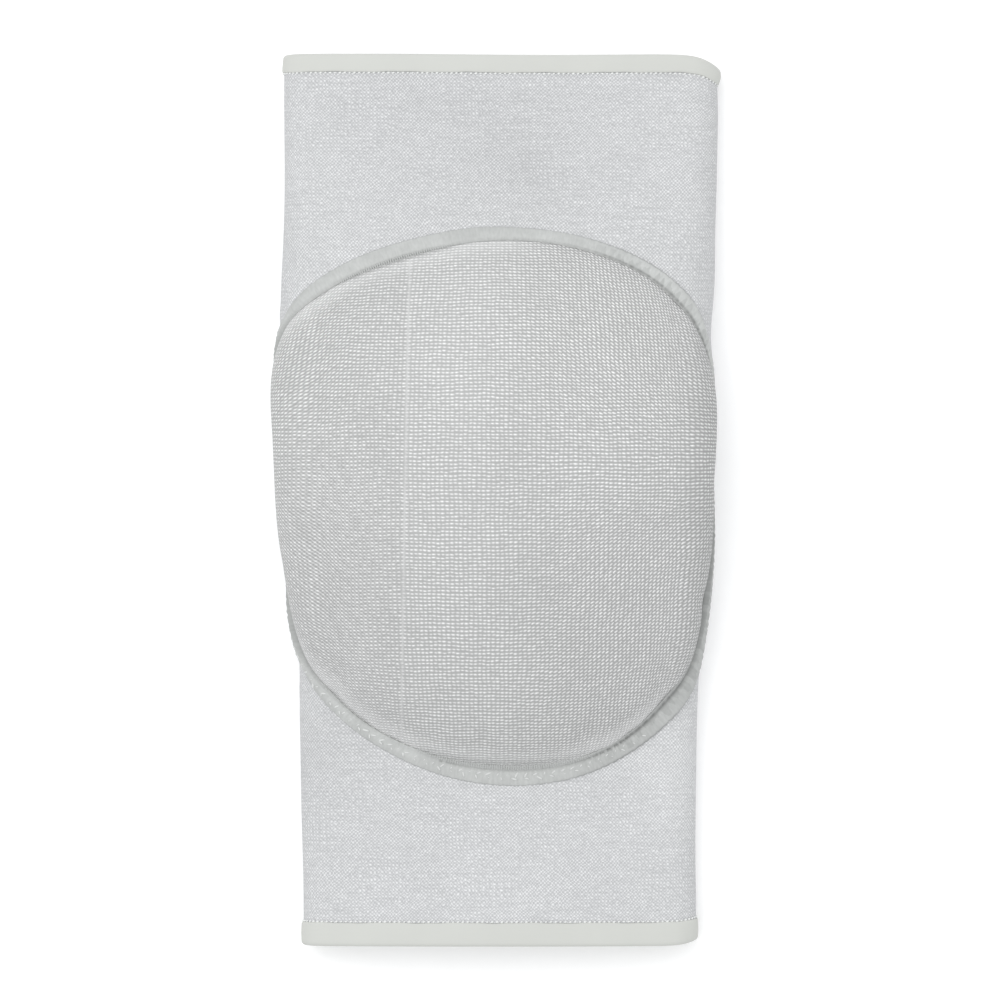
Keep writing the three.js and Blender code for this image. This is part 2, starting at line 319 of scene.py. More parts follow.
# %% The outline rule
PAD_LENGTH = 150.4
PAD_WIDTH = 134.0
PAD_MIDDLE = np.array([3.1, -2.2])
PAD_TILT = math.radians(11.2)
PAD_OUTLINE = {
    "at": [-1.0, -0.5, 0.0, 0.5, 1.0],
    "left": [1.01, 1.1, 1.05, 1.14, 1.65],
    "right": [0.86, 0.89, 0.91, 1.06, 1.16],
}
RIM = {
    "at": range(0, 361, 15),
    "out": [0.3, 1.9, 2.1, 2.2, 1.5, 1.5, 2.1, 2.3, 1.2, 0.7, 0.5, 0.1, -0.4,
            -0.7, -0.1, 1.3, 1.1, 0.2, -0.1, 0.2, 0.6, 0.9, -1.9, -1.3, 0.3],
    "wide": [4.0, 3.7, 3.4, 3.1, 2.9, 2.8, 3.3, 3.5, 3.0, 3.2, 3.4, 3.5, 3.5,
             3.6, 2.9, 2.9, 3.7, 4.3, 4.1, 3.8, 4.3, 5.2, 5.4, 4.8, 4.0],
    "high": [1.8, 1.5, 1.35, 1.3, 1.2, 1.2, 1.2, 1.2, 1.4, 2.2, 2.0, 1.9, 2.3,
             3.3, 1.9, 1.4, 1.25, 1.2, 1.2, 1.25, 1.5, 2.0, 3.1, 3.1, 1.8],
    "steep": [0.64, 0.64, 0.69, 0.76, 0.78, 0.79, 0.82, 0.83, 0.8, 0.75, 0.7, 0.66, 0.65,
              0.65, 0.65, 0.64, 0.62, 0.6, 0.58, 0.58, 0.59, 0.61, 0.63, 0.64, 0.64],
}


def along_rim(column, around):
    """A value of the rim's table for a way round the cushion."""
    return table_curve(RIM, column, np.degrees(around) % 360)


def rim_bulge(around):
    """How much longer the way to the rim is than the plain ellipse's."""
    return 1 + along_rim("out", around) / (PAD_LENGTH / 2)


def pad_place(around, share, grow):
    """Across and along on the tube for a place on the cushion. Grow moves the rim outwards."""
    side, end = np.cos(around), np.sin(around)
    left, right = table_curve(PAD_OUTLINE, "left", end), table_curve(PAD_OUTLINE, "right", end)
    half = PAD_WIDTH / 2 * np.where(side < 0, left, right)
    bulge = rim_bulge(around)
    x, y = side * (half * bulge + grow) * share, end * (PAD_LENGTH / 2 * bulge + grow) * share
    turned = np.stack([x * math.cos(PAD_TILT) - y * math.sin(PAD_TILT),
                       x * math.sin(PAD_TILT) + y * math.cos(PAD_TILT)], -1)
    return turned + PAD_MIDDLE


def share_of_pad(across, along):
    """The other way round: for a place on the tube, the way round the cushion and the share of its rim."""
    x, y = across - PAD_MIDDLE[0], along - PAD_MIDDLE[1]
    x, y = x * math.cos(PAD_TILT) + y * math.sin(PAD_TILT), -x * math.sin(PAD_TILT) + y * math.cos(PAD_TILT)
    end = y / (PAD_LENGTH / 2)
    half = np.full_like(x, PAD_WIDTH / 2)
    for _ in range(6):
        share = np.hypot(x / half, end) + 1e-9
        at = np.clip(end / share, -1, 1)
        half = PAD_WIDTH / 2 * np.where(x < 0, table_curve(PAD_OUTLINE, "left", at),
                                        table_curve(PAD_OUTLINE, "right", at))
    around = np.arctan2(end, x / half)
    return around, share / rim_bulge(around)


def even_outline(grow, count):
    """Ways round the cushion that space points evenly along its rim."""
    around = np.linspace(0, math.tau, 2881)
    rim = over_tube(*pad_place(around, 1.0, grow).T, 0.0)
    travelled = np.concatenate([[0], np.cumsum(np.linalg.norm(np.diff(rim, axis=0), axis=1))])
    return np.interp(np.arange(count) / count * travelled[-1], travelled, around), travelled[-1]


print("rim length, mm:", round(even_outline(0.0, 10)[1], 1))

# %% [markdown]
# ## The knitted tube
#
# Knit is never quite smooth. It sags between the places that hold it, puckers where a seam pulls it in and
# waves a little along its folds. The tube is a closed shell: its outer face, then its inner face, joined at
# the two cut ends that the hems hide. Sums of a few long waves stand for the sag, and a short ripple that
# dies out away from the cushion stands for the puckers at its seam.

# %% Waves in soft cloth
CLOTH_WAVES = [
    {"across": 0.021, "along": 0.055, "start": 0.4, "high": 0.16},
    {"across": -0.034, "along": 0.083, "start": 2.1, "high": 0.11},
    {"across": 0.076, "along": 0.031, "start": 4.4, "high": 0.09},
    {"across": 0.12, "along": -0.14, "start": 1.2, "high": 0.05},
    {"across": -0.21, "along": 0.19, "start": 5.2, "high": 0.03},
]
PAD_RADIUS = 70.0
BAND_REACH = 4.5
PUCKER_HEIGHT = 0.11
PUCKER_FADE = 5.0


def cloth_waves(across, along):
    return sum(w["high"] * np.sin(w["across"] * across + w["along"] * along + w["start"])
               for w in CLOTH_WAVES)


def seam_puckers(across, along):
    """Ripples in the tube just outside the cushion's seam."""
    around, share = share_of_pad(across, along)
    away = (share - 1) * PAD_RADIUS - BAND_REACH
    ripple = np.sin(around * 58 + 1.4 * np.sin(around * 7)) + 0.5 * np.sin(around * 101 + 2)
    return PUCKER_HEIGHT * ripple * np.exp(-np.clip(away, 0, None) / PUCKER_FADE) * smooth_step(away, -3, 1)


# %% The tube itself
TUBE_ROWS = 150
TUBE_COLUMNS = 184


def tube_shell():
    """The tube as one closed skin: outer face, cut end, inner face, cut end."""
    end = TUBE_LENGTH / 2 - TAPE_THICKNESS - CLEARANCE
    along = np.linspace(-end, end, TUBE_ROWS)[:, None]
    across = np.linspace(-1, 1, TUBE_COLUMNS + 1) * girth(along)
    along = np.broadcast_to(along, across.shape)
    front = smooth_step(girth(along) - np.abs(across), 40, 70)
    free = 1 - smooth_step(np.abs(along), TUBE_LENGTH / 2 - 18, TUBE_LENGTH / 2 - 6)
    beside_pad = smooth_step(share_of_pad(across, along)[1], 1.0, 1.1)
    shape = (cloth_waves(across, along) * beside_pad + seam_puckers(across, along)) * front * free
    knit_map = np.stack([across, along], -1)
    outer, inner = over_tube(across, along, shape), over_tube(across, along, shape - TUBE_WALL)
    rings = np.concatenate([outer[:, :-1], inner[::-1, :-1]])
    return join_rings("sleeve_knit", rings, np.concatenate([knit_map, knit_map[::-1]]), ring_of_rings=True)


sleeve_knit = faces_outwards(tube_shell())
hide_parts("sleeve")

# %% [markdown]
# ## The folded hems
#
# Each cut end of the tube is bound with a smooth elastic tape, folded over it and stitched through. The tape
# is drawn here as its own cross-section, a U with a soft round fold, carried round the tube. The elastic
# draws the tape in, so it is a little plump between stitches and waves slightly along its edge.

# %% Hems
HEMS = {"thigh": {"end": 1, "width": 5.4}, "calf": {"end": -1, "width": 7.0}}
HEM_COLUMNS = 420
TAPE_LIFT = 0.12
TAPE_DEPTH = 0.45


def hem_profile(width):
    """Lift off the tube's outer face and distance from its end, once round the folded tape."""
    outside, inside = TAPE_LIFT + TAPE_DEPTH, -TUBE_WALL - TAPE_LIFT - TAPE_DEPTH
    middle, half = (outside + inside) / 2, (outside - inside) / 2
    edge = [(TAPE_LIFT, width - 0.3), (TAPE_LIFT + 0.1, width), (TAPE_LIFT + 0.3, width - 0.15)]
    leaf = [(outside + 0.1 * math.sin(math.pi * s), (width - 0.6) * (1 - s) + half * 0.8 * s)
            for s in np.linspace(0, 0.95, 7)]
    fold = [(middle + half * math.cos(t), 0.15 + half * (1 - math.sin(t)) * 0.8)
            for t in np.linspace(0.25, math.pi - 0.25, 11)]
    throat = [(0.1, TAPE_THICKNESS), (TAPE_LIFT, TAPE_THICKNESS + 0.2), (TAPE_LIFT, TAPE_THICKNESS + 1.5)]
    inner = [[(middle * 2 - lift, depth) for lift, depth in part[::-1]] for part in (leaf, edge, throat)]
    return np.array(edge + leaf + fold + sum(inner, []) + throat)


def hem(name, end, width):
    """One folded tape. It leans out a little at the sides of the thigh end, where it has been worn wide."""
    profile = hem_profile(width)
    lift, depth = profile[:, 0][:, None], profile[:, 1][:, None]
    turn = np.linspace(-1, 1, HEM_COLUMNS + 1)[None, :]
    along = end * (TUBE_LENGTH / 2 - depth)
    across = turn * girth(along)
    free = smooth_step(girth(along) - np.abs(across), 45, 65) * np.where(lift > -TUBE_WALL / 2, 1, -1)
    ease = 0.05 * np.sin(across * 0.9 + 1.1 * np.sin(across * 0.23)) + 0.06 * np.sin(across * 0.17 + 1)
    ease = ease * free
    near_edge = smooth_step(depth, width * 0.4, width)
    along = along - end * (0.1 * np.sin(across * 0.31 + end) + 0.05 * np.sin(across * 0.83)) * near_edge
    lean = smooth_step(across, 45, 64) * 0.55 - smooth_step(-across, 45, 64) * 0.35
    lean = lean * (end > 0) * np.sign(free) * (1 - near_edge)
    rings = over_tube(across, along, lift + lean + ease * (1 - near_edge * 0.6))
    folded = depth + np.cumsum(np.abs(np.diff(lift, axis=0, prepend=lift[:1])), 0)
    knit_map = np.stack([across, folded + 0 * across], -1)
    return faces_outwards(join_rings(name, rings[:, :-1], knit_map, ring_of_rings=True))


thigh_tape = hem("thigh_hem_tape", **HEMS["thigh"])
calf_tape = hem("calf_hem_tape", **HEMS["calf"])
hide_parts("thigh_hem")
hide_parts("calf_hem")

# %% [markdown]
# ## The cushion
#
# A thick foam dome under a knitted cover that is stretched tight over it. Its wall stands steepest at the
# shin end and leans most at the thigh end, where the cushion runs out gently. The dome starts as rings
# between its middle and its rim, a little lower than the real one, and the base closes it below.
#
# The knit of the cover needs a map that follows the wall down: each place is told how far the cloth runs to
# it, across and along, over the dome. The distances are summed up on a fine grid and read off between. A
# mark called rim, one at the seam and nothing further in, lets the material paint light on the edge by
# itself.

# %% The dome and its knit map
PAD_THICKNESS = 20.0
FILLING_SWELL = 0.6
DOME_FLATNESS = 2.5
COVER_LIFT = CLEARANCE + 0.1
DOME_COLUMNS = 176
DOME_ROWS = 40
BASE_ROWS = 12
MAP_STEP = 0.5
MAP_REACH = 95.0


def dome_height(around, share):
    """Height of the cover over the tube. A small power makes a steep wall, a large one a soft slope."""
    return PAD_THICKNESS * np.clip(1 - share**DOME_FLATNESS, 0, 1) ** along_rim("steep", around)


def cloth_runs():
    """On a grid over the tube: how far the cover runs from the middle, across and along."""
    ticks = np.arange(-MAP_REACH, MAP_REACH + MAP_STEP, MAP_STEP)
    around, share = share_of_pad(*np.meshgrid(ticks, ticks))
    height = dome_height(around, share)
    runs = []
    for axis in (1, 0):
        climbed = np.hypot(MAP_STEP, np.diff(height, axis=axis))
        run = np.insert(np.cumsum(climbed, axis=axis), 0, 0, axis=axis)
        runs.append(run - run.take([len(ticks) // 2], axis=axis))
    return np.stack(runs, -1)


def read_grid(grid, place):
    """The grid's values at places between its ticks."""
    spot = (place + MAP_REACH) / MAP_STEP
    corner = np.clip(np.floor(spot).astype(int), 0, len(grid) - 2)
    (a, b), (i, j) = np.moveaxis(spot - corner, -1, 0)[..., None], np.moveaxis(corner, -1, 0)
    lower = grid[j, i] * (1 - a) + grid[j, i + 1] * a
    upper = grid[j + 1, i] * (1 - a) + grid[j + 1, i + 1] * a
    return lower * (1 - b) + upper * b


def cushion():
    """The dome's rings, its base, the knit map, the mark at the rim and the group of sewn points."""
    around, _ = even_outline(0.0, DOME_COLUMNS)
    around = np.append(around, around[0] + math.tau)[None, :]
    top = (1 - (1 - np.arange(1, DOME_ROWS + 1) / DOME_ROWS) ** 1.5)[:, None]
    base = np.linspace(1, 0, BASE_ROWS + 1)[1:-1, None]
    share = np.concatenate([top, base])
    low = 1 - FILLING_SWELL / PAD_THICKNESS
    height = np.concatenate([dome_height(around, top) * low, 0 * base * around])
    place = pad_place(around, share, 0.0)
    rings = over_tube(place[..., 0], place[..., 1], COVER_LIFT + height)
    middle = pad_place(np.zeros(2), 0.0, 0.0)
    poles = over_tube(*middle.T, [COVER_LIFT + PAD_THICKNESS * low, COVER_LIFT])
    made = join_rings("pad_cushion", rings[:, :-1], read_grid(cloth_runs(), place), poles=poles)
    near_rim = np.concatenate([smooth_step(top, 0.91, 1.0), 0 * base]) + 0 * around[:, :-1]
    rim_mark = made.data.attributes.new("rim", "FLOAT", "POINT")
    rim_mark.data.foreach_set("value", np.append(near_rim, [0, 0]).astype(np.float32))
    sewn = made.vertex_groups.new(name="sewn")
    rim = (DOME_ROWS - 1) * DOME_COLUMNS
    sewn.add(list(range(rim, rings.shape[0] * DOME_COLUMNS)) + [len(made.data.vertices) - 1], 1.0, "REPLACE")
    return faces_outwards(made)


pad_cushion = cushion()
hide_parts("pad_cover", "foam_pad")

# %% [markdown]
# ## Filling the cushion
#
# A stuffed cover is a little fuller above its seam than a plain dome. So a cloth simulation blows the dome up
# while its rim and base stay sewn down. How far a point may move is capped, so the cushion keeps its size.

# %% Fill the cushion
FILLING_PRESSURE = 50.0
COVER_MASS = 0.01
SWELL_FRAMES = 20
SWELL_LIMIT = 0.9


def keep_evaluated(made):
    """Swaps an object's mesh for the one that its modifiers make, and removes them."""
    graph = bpy.context.evaluated_depsgraph_get()
    mesh = bpy.data.meshes.new_from_object(
        made.evaluated_get(graph), preserve_all_data_layers=True, depsgraph=graph)
    made.modifiers.clear()
    made.data = mesh
    return made


def fill(made):
    before = vertex_places(made.data)
    cloth = made.modifiers.new("filling", "CLOTH")
    settings = cloth.settings
    settings.quality = 6
    settings.mass = COVER_MASS
    settings.use_pressure = True
    settings.uniform_pressure_force = FILLING_PRESSURE
    settings.vertex_group_mass = "sewn"
    settings.effector_weights.gravity = 0
    cloth.point_cache.frame_start = 1
    cloth.point_cache.frame_end = SWELL_FRAMES
    for step in range(1, SWELL_FRAMES + 1):
        scene.frame_set(step)
        bpy.context.view_layer.update()
    keep_evaluated(made)
    scene.frame_set(1)
    moved = vertex_places(made.data) - before
    far = np.linalg.norm(moved, axis=1, keepdims=True)
    print("filling moves the cover, mm: mean", round(far.mean() / MM, 2), "most", round(far.max() / MM, 2))
    moved *= np.minimum(1, SWELL_LIMIT * MM / np.maximum(far, 1e-9))
    made.data.vertices.foreach_set("co", (before + moved).ravel())
    made.data.update()


fill(pad_cushion)
rounding = pad_cushion.modifiers.new("rounding", "SUBSURF")
rounding.levels = rounding.render_levels = 1
keep_evaluated(pad_cushion)
pad_cushion.vertex_groups.clear()
pad_cushion.data.shade_smooth()
print("cushion spans, mm:", [round(v / MM, 1) for v in pad_cushion.dimensions])

# %% [markdown]
# ## The seam band
#
# The cover and the tube are joined by an overlocked seam: their edges are turned out together and wrapped
# with thread, which makes a soft flat cord all round the cushion. The thread pulls it into small gathers. It
# is widest at the lower right, where the wall of the cushion stands up out of it. On the left it fades into
# the cover, so its inner edge lies a little over the dome there.

# %% The band
BAND_COLUMNS = 1200
BAND_MIDDLE = 2.0
GATHER_PITCH = 2.3
WRINKLE_PITCH = 1.7
LAP_ON_DOME = 0.3
BAND_SECTION = {
    "out": [-0.36, -0.36, -0.22, -0.08, 0.08, 0.26, 0.46, 0.66, 0.82, 0.93, 1.0, 0.98, 0.88],
    "up": [0.0, 1.55, 1.38, 1.22, 1.1, 1.02, 0.98, 0.92, 0.82, 0.64, 0.36, 0.1, 0.0],
}


def band_surface(around, far, out, up):
    """Place and lift of the cord's skin, gathers included."""
    gather = np.abs(np.sin(far * math.pi / GATHER_PITCH + 0.5 * np.sin(far * 0.13)))
    wrinkle = np.sin(far * math.tau / WRINKLE_PITCH + 1.3 * np.sin(far * 0.21)) * np.sin(far * 0.37 + 1)
    wide = CLEARANCE + out * along_rim("wide", around) * (0.95 + 0.05 * gather)
    soft = 0.4 - 0.4 * np.cos(around + math.radians(20))
    up = up * (1 - soft * smooth_step(out, 0.35, 1.0))
    lift = CLEARANCE - 0.2 + up * (along_rim("high", around) * (0.95 + 0.05 * gather) + 0.07 * wrinkle)
    inset = np.clip(-wide, 0, None)
    dome = dome_height(around, 1 - inset / (PAD_LENGTH / 2))
    lap = LAP_ON_DOME * smooth_step(soft, 0.1, 0.5)
    lift = np.where(inset > 0, np.minimum(lift, dome + CLEARANCE + lap), lift)
    place = pad_place(around, 1.0, wide)
    return place[..., 0], place[..., 1], lift


def seam_band():
    around, length = even_outline(BAND_MIDDLE, BAND_COLUMNS)
    around = np.append(around, around[0] + math.tau)[None, :]
    far = np.linspace(0, length, BAND_COLUMNS + 1)[None, :]
    out, up = np.array(BAND_SECTION["out"])[:, None], np.array(BAND_SECTION["up"])[:, None]
    rings = over_tube(*band_surface(around, far, out, up))
    knit_map = np.stack([far + 0 * out, out * BAND_REACH + 0 * far], -1)
    return faces_outwards(join_rings("seam_band", rings[:, :-1], knit_map, ring_of_rings=True))


band = seam_band()
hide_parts("pad_seam_band")

# %% [markdown]
# ## Stitches
#
# A sewing machine repeats one stitch along a line, which is what Geometry Nodes do well. The tree takes a
# path with its up direction, sets points on it one pitch apart, and lays a small oval of thread on each one,
# turned by a slant. The same tree sews the hems and wraps the seam band; only its inputs change.

# %% The stitch tree
def node(tree, kind, sockets=(), out=0, **settings):
    """Adds a node and feeds it with values or with other nodes' outputs. Gives the output asked for."""
    made = tree.nodes.new(kind)
    for name, value in settings.items():
        setattr(made, name, value)
    for key, value in dict(sockets).items():
        if isinstance(value, bpy.types.NodeSocket):
            tree.links.new(value, made.inputs[key])
        else:
            made.inputs[key].default_value = value
    return made.outputs[out]


def tree_of(values):
    """The tree that the first socket among some values belongs to."""
    return next(value.id_data for value in values if isinstance(value, bpy.types.NodeSocket))


def maths(operation, *values):
    return node(tree_of(values), "ShaderNodeMath", enumerate(values), operation=operation)


def vectors(operation, *values):
    return node(tree_of(values), "ShaderNodeVectorMath", enumerate(values), operation=operation)


def times(a, b):
    return maths("MULTIPLY", a, b)


STITCH_INPUTS = {
    "Pitch": 1.3 * MM,
    "Length": 1.0 * MM,
    "Thickness": 0.4 * MM,
    "Slant": 0.3,
    "Unevenness": 0.12,
}


def stitch_tree():
    """Path to points, points to ovals of thread, ovals to one mesh."""
    tree = bpy.data.node_groups.new("stitch row", "GeometryNodeTree")
    tree.interface.new_socket("Path", in_out="INPUT", socket_type="NodeSocketGeometry")
    for name, value in STITCH_INPUTS.items():
        socket = tree.interface.new_socket(name, in_out="INPUT", socket_type="NodeSocketFloat")
        socket.default_value = value
    tree.interface.new_socket("Thread", in_out="INPUT", socket_type="NodeSocketMaterial")
    tree.interface.new_socket("Stitches", in_out="OUTPUT", socket_type="NodeSocketGeometry")
    given = tree.nodes.new("NodeGroupInput").outputs

    path = node(tree, "GeometryNodeMeshToCurve", {"Mesh": given["Path"]})
    spots = node(tree, "GeometryNodeResampleCurve", {"Curve": path, "Length": given["Pitch"]}, mode="LENGTH")
    up = node(tree, "GeometryNodeInputNamedAttribute", {"Name": "up"}, "Attribute", data_type="FLOAT_VECTOR")
    onward = node(tree, "GeometryNodeInputTangent")
    lie = node(tree, "FunctionNodeAxesToRotation", {"Primary Axis": up, "Secondary Axis": onward},
               primary_axis="Z", secondary_axis="X")
    low = maths("SUBTRACT", 1.0, given["Unevenness"])
    high = maths("ADD", 1.0, given["Unevenness"])
    sizes, turns = (node(tree, "FunctionNodeRandomValue", {"Min": low, "Max": high, "Seed": seed}, "Value",
                         data_type="FLOAT") for seed in (7, 3))
    slant = times(given["Slant"], turns)
    turn = node(tree, "FunctionNodeAxisAngleToRotation", {"Axis": (0, 0, 1), "Angle": slant})
    aim = node(tree, "FunctionNodeRotateRotation", {"Rotation": lie, "Rotate By": turn},
               rotation_space="LOCAL")

    fullness = node(tree, "GeometryNodeInputNamedAttribute", {"Name": "fullness"}, "Attribute",
                    data_type="FLOAT")
    size = times(fullness, sizes)
    shape = node(tree, "ShaderNodeCombineXYZ", {"X": given["Length"], "Y": given["Thickness"],
                                                "Z": given["Thickness"]})
    scale = node(tree, "ShaderNodeVectorMath", {0: shape, "Scale": size}, operation="SCALE")
    oval = node(tree, "GeometryNodeMeshUVSphere", {"Segments": 8, "Rings": 5, "Radius": 0.5}, "Mesh")
    laid = node(tree, "GeometryNodeInstanceOnPoints", {
        "Points": spots, "Instance": oval, "Rotation": aim, "Scale": scale})
    whole = node(tree, "GeometryNodeRealizeInstances", {"Geometry": laid})
    smooth = node(tree, "GeometryNodeSetShadeSmooth", {"Geometry": whole})
    dyed = node(tree, "GeometryNodeSetMaterial", {"Geometry": smooth, "Material": given["Thread"]})
    tree.links.new(dyed, tree.nodes.new("NodeGroupOutput").inputs["Stitches"])
    return tree


STITCH_ROW = stitch_tree()
stitches = []
print("stitch row sockets:", len(STITCH_ROW.interface.items_tree))


def sew(name, line, above, thread, fullness=1.0, closed=True, **sizes):
    """Sews a row of stitches along a line, and lists it. Above is the same line, a little further out."""
    mesh = bpy.data.meshes.new(name)
    count = len(line)
    edges = [(i, (i + 1) % count) for i in range(count if closed else count - 1)]
    mesh.from_pydata((line * MM).tolist(), edges, [])
    up = above - line
    up = up / np.linalg.norm(up, axis=1, keepdims=True)
    ups = mesh.attributes.new("up", "FLOAT_VECTOR", "POINT")
    ups.data.foreach_set("vector", up.astype(np.float32).ravel())
    full = mesh.attributes.new("fullness", "FLOAT", "POINT")
    full.data.foreach_set("value", np.broadcast_to(fullness, count).astype(np.float32))
    made = add_object(name, mesh)
    sewing = made.modifiers.new("sewing", "NODES")
    sewing.node_group = STITCH_ROW
    given = {**sizes, "Thread": thread}
    for socket in STITCH_ROW.interface.items_tree:
        if socket.name in given:
            sewing[socket.identifier] = given[socket.name]
    stitches.append(keep_evaluated(made))
    print(f"{name}: {len(made.data.polygons)} faces")


# %% [markdown]
# ## Knit
#
# Seen from here, knit is a field of small light ovals, one for each loop of yarn, with shade between them.
# The material cuts the knit map into cells of one loop, draws a leaning oval in each cell, and lets chance
# shift it a little and make it brighter or duller. The oval feeds the colour, the roughness and the bump.
# The cloth is stretched over the dome, so on its left and right the loops lean more and grow longer.

# %% Parts of a material
def between(share, low, high):
    """A value or a colour between two others. A colour is three numbers or another node's output."""
    if isinstance(high, tuple):
        low, high = (end if isinstance(end, bpy.types.NodeSocket) else (*end, 1) for end in (low, high))
        return node(share.id_data, "ShaderNodeMix", {0: share, 6: low, 7: high}, 2, data_type="RGBA")
    return node(share.id_data, "ShaderNodeMapRange", {"Value": share, "To Min": low, "To Max": high})


def blend(share, low, high):
    return node(share.id_data, "ShaderNodeMix", {"Factor": share, "A": low, "B": high}, "Result",
                data_type="FLOAT")


def span(value, start, end, low=0.0, high=1.0):
    """From low to high, smoothly, while the value goes from start to end."""
    return node(value.id_data, "ShaderNodeMapRange", {
        "Value": value, "From Min": start, "From Max": end, "To Min": low, "To Max": high,
    }, interpolation_type="SMOOTHSTEP")


def knit_place(tree):
    return node(tree, "ShaderNodeUVMap", out="UV", uv_map="knit")


def object_place(tree):
    return node(tree, "ShaderNodeTexCoord", out="Object")


def axes_of(place):
    return node(place.id_data, "ShaderNodeSeparateXYZ", {0: place}).node.outputs


def millimetres(place):
    """Across, along and up, in millimetres."""
    return axes_of(vectors("DIVIDE", place, (MM, MM, MM)))


def noise(place, scale, stretch=(1, 1, 1)):
    """Soft chance over a place. A stretch below one draws it out along that axis."""
    place = vectors("MULTIPLY", place, stretch)
    return node(place.id_data, "ShaderNodeTexNoise", {"Vector": place, "Scale": scale, "Detail": 2.0}, "Fac")


def ridge(value, middle, width):
    """One where the value is at the middle, and nothing far from it."""
    away = maths("DIVIDE", maths("SUBTRACT", value, middle), width)
    return maths("EXPONENT", times(times(away, away), -1.0))


def around_zero(chance, size):
    """Three numbers of chance, moved to lie around zero and scaled."""
    return vectors("MULTIPLY", vectors("SUBTRACT", chance, (0.5, 0.5, 0.5)), size)


def wander(place, scale, detail, size):
    """A soft push, a size in millimetres strong, that changes over the cloth."""
    chance = node(place.id_data, "ShaderNodeTexNoise", {"Vector": place, "Scale": scale, "Detail": detail},
                  "Color")
    return around_zero(chance, (size * MM, size * MM, 0))


def knit_loops(tree, cell, oval, turn, shift, filled, jitter):
    """The ovals of a knit, from its map, and the chance of each loop. Filled adds ovals between them."""
    place = knit_place(tree)
    drifted = vectors("ADD", place, wander(place, 70.0, 3.0, 1.4))
    drifted = vectors("ADD", drifted, wander(place, 620.0, 1.0, jitter))
    cells = vectors("DIVIDE", drifted, (cell[0] * MM, cell[1] * MM, 1))
    luck = node(tree, "ShaderNodeTexWhiteNoise", {"Vector": vectors("FLOOR", cells)},
                noise_dimensions="2D").node.outputs
    inside = vectors("SUBTRACT", vectors("FRACTION", cells), (0.5, 0.5, 0))
    inside = vectors("ADD", inside, around_zero(luck["Color"], (shift, shift, shift)))
    turned = node(tree, "ShaderNodeVectorRotate", {"Vector": inside, "Angle": turn},
                  rotation_type="Z_AXIS")
    radii = node(tree, "ShaderNodeCombineXYZ", {"X": oval[0], "Y": oval[1], "Z": 1.0})
    far = vectors("DIVIDE", turned, radii)
    distance = node(tree, "ShaderNodeVectorMath", {0: far, 1: far}, "Value", operation="DOT_PRODUCT")
    ovals = maths("EXPONENT", times(distance, -1.0))
    turns = axes_of(vectors("MULTIPLY", cells, (math.tau, math.tau, 0)))
    lattice = times(maths("COSINE", turns["X"]), maths("COSINE", turns["Y"]))
    lattice = maths("POWER", maths("MULTIPLY_ADD", lattice, 0.5, 0.5), 1.7)
    return blend(filled, ovals, lattice), luck["Value"]


def finish_cloth(shader, colour, height, depth, roughness):
    """Feeds the shader: the colour, a roughness and a bump of the given depth in millimetres."""
    tree = shader.id_data
    tree.links.new(colour, shader.inputs["Base Color"])
    tree.links.new(roughness, shader.inputs["Roughness"])
    bump = node(tree, "ShaderNodeBump", {"Height": height, "Distance": depth * MM, "Strength": 1.0})
    tree.links.new(bump, shader.inputs["Normal"])


def tinted(colour, *shares):
    """The colour, made brighter or duller by shares around one."""
    for share in shares:
        colour = node(colour.id_data, "ShaderNodeVectorMath", {0: colour, "Scale": share}, operation="SCALE")
    return colour


def shaded(colour, mask, change):
    """The colour, changed where the mask is one. A change below nothing darkens it."""
    return tinted(colour, maths("MULTIPLY_ADD", mask, change, 1.0))


# %% [markdown]
# ## The cover's finish
#
# A pressed crease runs down the cover, left of its middle. Its column is pressed smooth, with less shade
# between the loops, and painted light on its ridge; the cover left of it carries painted shade. The ground
# between the loops has painted shade where the cloth is stretched over the sides and light grazes it, and
# painted light at the rim on the left and at the shin end, to lift the shade in the crease where the cover
# runs into its seam. Broad tints paint light and shade over the rest.

# %% Cover knit
CREASE_AT = -26.9


